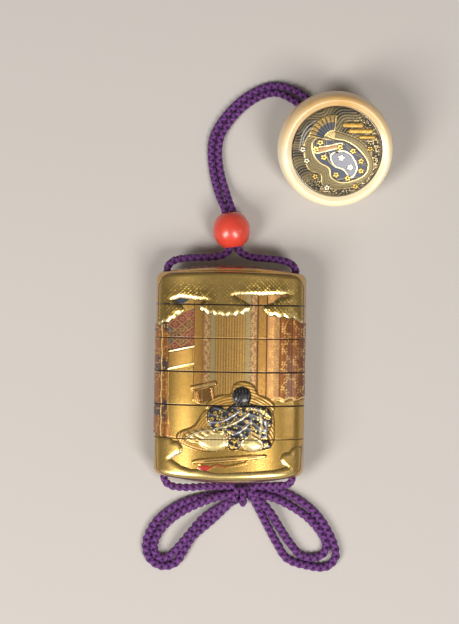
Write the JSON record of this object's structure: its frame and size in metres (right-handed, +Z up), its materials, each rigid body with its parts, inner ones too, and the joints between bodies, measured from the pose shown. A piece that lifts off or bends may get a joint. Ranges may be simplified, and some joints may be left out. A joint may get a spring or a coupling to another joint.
{
  "type": "inro case with cord, bead and toggle",
  "caption": "Flat stacked lacquer case lying on its back, with a silk cord through its sides tied in a bow, a round bead and a disc-shaped toggle.",
  "frame": {"origin": "middle of the small flat on the back of the case, on the surface that it lies on", "axes": "+Z up out of the decorated front, +Y along the case towards the toggle, +X to the right"},
  "size_m": [0.093, 0.1889, 0.0252],
  "materials": {
    "gold_lacquer": "gold lacquer over a thin wooden core, polished, with raised and sprinkled gold",
    "ivory": "turned and polished ivory-coloured bowl, dense and slightly yellow",
    "coral": "polished coral red",
    "dark_alloy": "dark patinated copper alloy with gold and silver in low relief",
    "silk_cord": "round braid of purple silk"
  },
  "bodies": {
    "root": {"lid": "gold_lacquer", "case_1": "gold_lacquer", "case_2": "gold_lacquer", "case_3": "gold_lacquer", "case_4": "gold_lacquer", "bottom_case": "gold_lacquer", "ojime_bead": "coral", "netsuke_bowl": "ivory", "netsuke_disc": "dark_alloy", "netsuke_knot": "silk_cord", "cord_left": "silk_cord", "cord_right": "silk_cord", "bow_left_outer": "silk_cord", "bow_left_inner": "silk_cord", "bow_right_outer": "silk_cord", "bow_right_inner": "silk_cord", "bow_knot": "silk_cord"}
  },
  "joints": []
}
